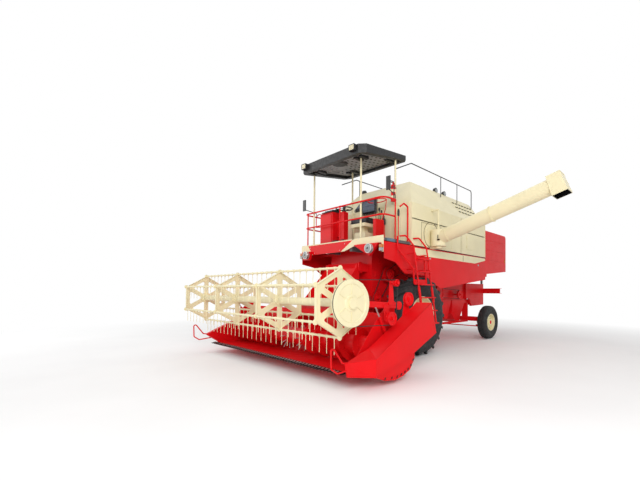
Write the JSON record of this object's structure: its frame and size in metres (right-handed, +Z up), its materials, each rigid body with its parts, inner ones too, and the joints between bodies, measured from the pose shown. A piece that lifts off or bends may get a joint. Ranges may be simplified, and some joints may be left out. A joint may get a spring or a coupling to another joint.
{
  "type": "self-propelled combine harvester",
  "caption": "Wheeled combine harvester with a tined reel and cutter header, open canopied platform, grain tank, straw hood and a side unloading auger.",
  "frame": {"origin": "on the ground, midway between the two drive wheels", "axes": "+Z up, +Y to the rear, the header points to -Y, +X to the machine's left, where the unloading auger is"},
  "size_m": [6.1206, 7.925, 4.1726],
  "materials": {
    "red_paint": "glossy red enamel on sheet steel",
    "cream_paint": "glossy cream enamel on sheet steel",
    "black_paint": "satin black enamel on tube",
    "black_plastic": "moulded dark grey-black plastic",
    "rubber": "matt black rubber",
    "black_vinyl": "stitched black vinyl over foam",
    "steel": "bare galvanised or machined steel",
    "deck_paint": "worn red enamel on chequered plate",
    "lamp_glass": "clear lamp glass over a bright reflector"
  },
  "bodies": {
    "chassis": {"chassis_frame": "red_paint", "drive_axle": "red_paint", "steer_axle": "red_paint", "thresher_housing": "red_paint", "cleaning_shoe": "red_paint", "straw_walkers": "steel", "grain_tank": "cream_paint", "side_panels": "red_paint", "engine_housing": "cream_paint", "engine_block": "red_paint", "rear_hood": "red_paint", "platform_deck": "deck_paint", "front_panel": "red_paint", "lamps": "lamp_glass", "control_console": "red_paint", "seat_frame": "cream_paint", "seat_pads": "black_vinyl", "platform_rails": "red_paint", "canopy_roof": "black_plastic", "canopy_posts": "cream_paint", "deck_rail": "black_paint", "ladder": "red_paint", "mirrors": "black_plastic", "fire_extinguisher": "red_paint", "auger_mount": "cream_paint", "conveyors": "red_paint", "side_drives": "red_paint", "drive_belts": "rubber"},
    "drive_wheel_left": {"drive_tyre_left": "rubber", "drive_rim_left": "cream_paint"},
    "drive_wheel_right": {"drive_tyre_right": "rubber", "drive_rim_right": "cream_paint"},
    "steered_wheel_left": {"steer_tyre_left": "rubber", "steer_rim_left": "cream_paint"},
    "steered_wheel_right": {"steer_tyre_right": "rubber", "steer_rim_right": "cream_paint"},
    "left_knuckle": {"knuckle_left": "red_paint"},
    "right_knuckle": {"knuckle_right": "red_paint"},
    "steering_link": {"tie_rod": "red_paint"},
    "hand_wheel": {"steering_wheel": "black_plastic"},
    "header": {"feeder_house": "red_paint", "header_body": "red_paint", "cutter_bar": "steel", "header_cover": "red_paint", "divider": "red_paint"},
    "screw": {"intake_screw": "red_paint"},
    "arms": {"reel_arms": "red_paint", "reel_belt": "rubber"},
    "reel": {"reel_frame": "cream_paint"},
    "tine_row_1": {"tine_bar_1": "cream_paint"},
    "tine_row_2": {"tine_bar_2": "cream_paint"},
    "tine_row_3": {"tine_bar_3": "cream_paint"},
    "tine_row_4": {"tine_bar_4": "cream_paint"},
    "tine_row_5": {"tine_bar_5": "cream_paint"},
    "tine_row_6": {"tine_bar_6": "cream_paint"},
    "unloader": {"unloading_auger": "cream_paint"},
    "lift_cylinders": {"lift_barrels": "red_paint"},
    "lift_pistons": {"lift_rods": "steel"},
    "reel_cylinders": {"reel_barrels": "red_paint"},
    "reel_pistons": {"reel_rods": "steel"}
  },
  "joints": [
    {"name": "drive_spin_left", "type": "hinge", "parent": "chassis", "child": "drive_wheel_left", "pos_m": [1.21, 0, 0.78], "axis": [1, 0, 0], "continuous": true},
    {"name": "steer_left", "type": "hinge", "parent": "chassis", "child": "left_knuckle", "pos_m": [0.985, 3.35, 0.448], "axis": [0, 0, 1], "range_deg": [-35, 35]},
    {"name": "steered_spin_left", "type": "hinge", "parent": "left_knuckle", "child": "steered_wheel_left", "pos_m": [1.205, 3.35, 0.448], "axis": [1, 0, 0], "continuous": true},
    {"name": "drive_spin_right", "type": "hinge", "parent": "chassis", "child": "drive_wheel_right", "pos_m": [-1.21, 0, 0.78], "axis": [1, 0, 0], "continuous": true},
    {"name": "steer_right", "type": "hinge", "parent": "chassis", "child": "right_knuckle", "pos_m": [-0.985, 3.35, 0.448], "axis": [0, 0, 1], "range_deg": [-35, 35]},
    {"name": "steered_spin_right", "type": "hinge", "parent": "right_knuckle", "child": "steered_wheel_right", "pos_m": [-1.205, 3.35, 0.448], "axis": [1, 0, 0], "continuous": true},
    {"name": "tie_rod_pivot", "type": "hinge", "parent": "left_knuckle", "child": "steering_link", "pos_m": [0.985, 3.135, 0.358], "axis": [0, 0, 1], "range_deg": [-35, 35]},
    {"name": "steering_wheel_turn", "type": "hinge", "parent": "chassis", "child": "hand_wheel", "pos_m": [-0.19, -0.7, 3.05], "axis": [0, 0, 1], "range_deg": [-420, 420]},
    {"name": "header_lift", "type": "hinge", "parent": "chassis", "child": "header", "pos_m": [0, -0.85, 1.74], "axis": [-1, 0, 0], "range_deg": [0, 25]},
    {"name": "intake_screw_spin", "type": "hinge", "parent": "header", "child": "screw", "pos_m": [0, -2.02, 0.455], "axis": [1, 0, 0], "continuous": true},
    {"name": "reel_lift", "type": "hinge", "parent": "header", "child": "arms", "pos_m": [0, -1.736, 1.06], "axis": [-1, 0, 0], "range_deg": [-6, 18]},
    {"name": "reel_spin", "type": "hinge", "parent": "arms", "child": "reel", "pos_m": [0, -2.79, 1.117], "axis": [1, 0, 0], "continuous": true},
    {"name": "tine_row_1_pivot", "type": "hinge", "parent": "reel", "child": "tine_row_1", "pos_m": [0, -2.79, 1.557], "axis": [1, 0, 0], "continuous": true},
    {"name": "tine_row_2_pivot", "type": "hinge", "parent": "reel", "child": "tine_row_2", "pos_m": [0, -2.40895, 1.337], "axis": [1, 0, 0], "continuous": true},
    {"name": "tine_row_3_pivot", "type": "hinge", "parent": "reel", "child": "tine_row_3", "pos_m": [0, -2.40895, 0.897], "axis": [1, 0, 0], "continuous": true},
    {"name": "tine_row_4_pivot", "type": "hinge", "parent": "reel", "child": "tine_row_4", "pos_m": [0, -2.79, 0.677], "axis": [1, 0, 0], "continuous": true},
    {"name": "tine_row_5_pivot", "type": "hinge", "parent": "reel", "child": "tine_row_5", "pos_m": [0, -3.17105, 0.897], "axis": [1, 0, 0], "continuous": true},
    {"name": "tine_row_6_pivot", "type": "hinge", "parent": "reel", "child": "tine_row_6", "pos_m": [0, -3.17105, 1.337], "axis": [1, 0, 0], "continuous": true},
    {"name": "unloader_swing", "type": "hinge", "parent": "chassis", "child": "unloader", "pos_m": [1.43, 0.5, 2.385], "axis": [0, 0, 1], "range_deg": [0, 90]},
    {"name": "lift_cylinder_pivot", "type": "hinge", "parent": "chassis", "child": "lift_cylinders", "pos_m": [0.33, -0.33, 0.7], "axis": [-1, 0, 0], "range_deg": [0, 12]},
    {"name": "lift_piston_slide", "type": "slide", "parent": "lift_cylinders", "child": "lift_pistons", "axis": [0, -0.9999, -0.0109], "range_m": [0, 0.44]},
    {"name": "reel_cylinder_pivot", "type": "hinge", "parent": "header", "child": "reel_cylinders", "pos_m": [2.076, -1.9, 0.64], "axis": [-1, 0, 0], "range_deg": [-3, 9]},
    {"name": "reel_piston_slide", "type": "slide", "parent": "reel_cylinders", "child": "reel_pistons", "axis": [0, -0.4923, 0.8704], "range_m": [-0.04, 0.11]}
  ],
  "couplings": [
    {"joint": "steer_right", "follows": "steer_left", "ratio": 1},
    {"joint": "tie_rod_pivot", "follows": "steer_left", "ratio": -1},
    {"joint": "steering_wheel_turn", "follows": "steer_left", "ratio": -12},
    {"joint": "lift_cylinder_pivot", "follows": "header_lift", "ratio": 0.464},
    {"joint": "lift_piston_slide", "follows": "header_lift", "m_per_rad": 0.9877},
    {"joint": "reel_cylinder_pivot", "follows": "reel_lift", "ratio": 0.447},
    {"joint": "reel_piston_slide", "follows": "reel_lift", "m_per_rad": 0.33},
    {"joint": "tine_row_1_pivot", "follows": "reel_spin", "ratio": -1},
    {"joint": "tine_row_2_pivot", "follows": "reel_spin", "ratio": -1},
    {"joint": "tine_row_3_pivot", "follows": "reel_spin", "ratio": -1},
    {"joint": "tine_row_4_pivot", "follows": "reel_spin", "ratio": -1},
    {"joint": "tine_row_5_pivot", "follows": "reel_spin", "ratio": -1},
    {"joint": "tine_row_6_pivot", "follows": "reel_spin", "ratio": -1}
  ]
}
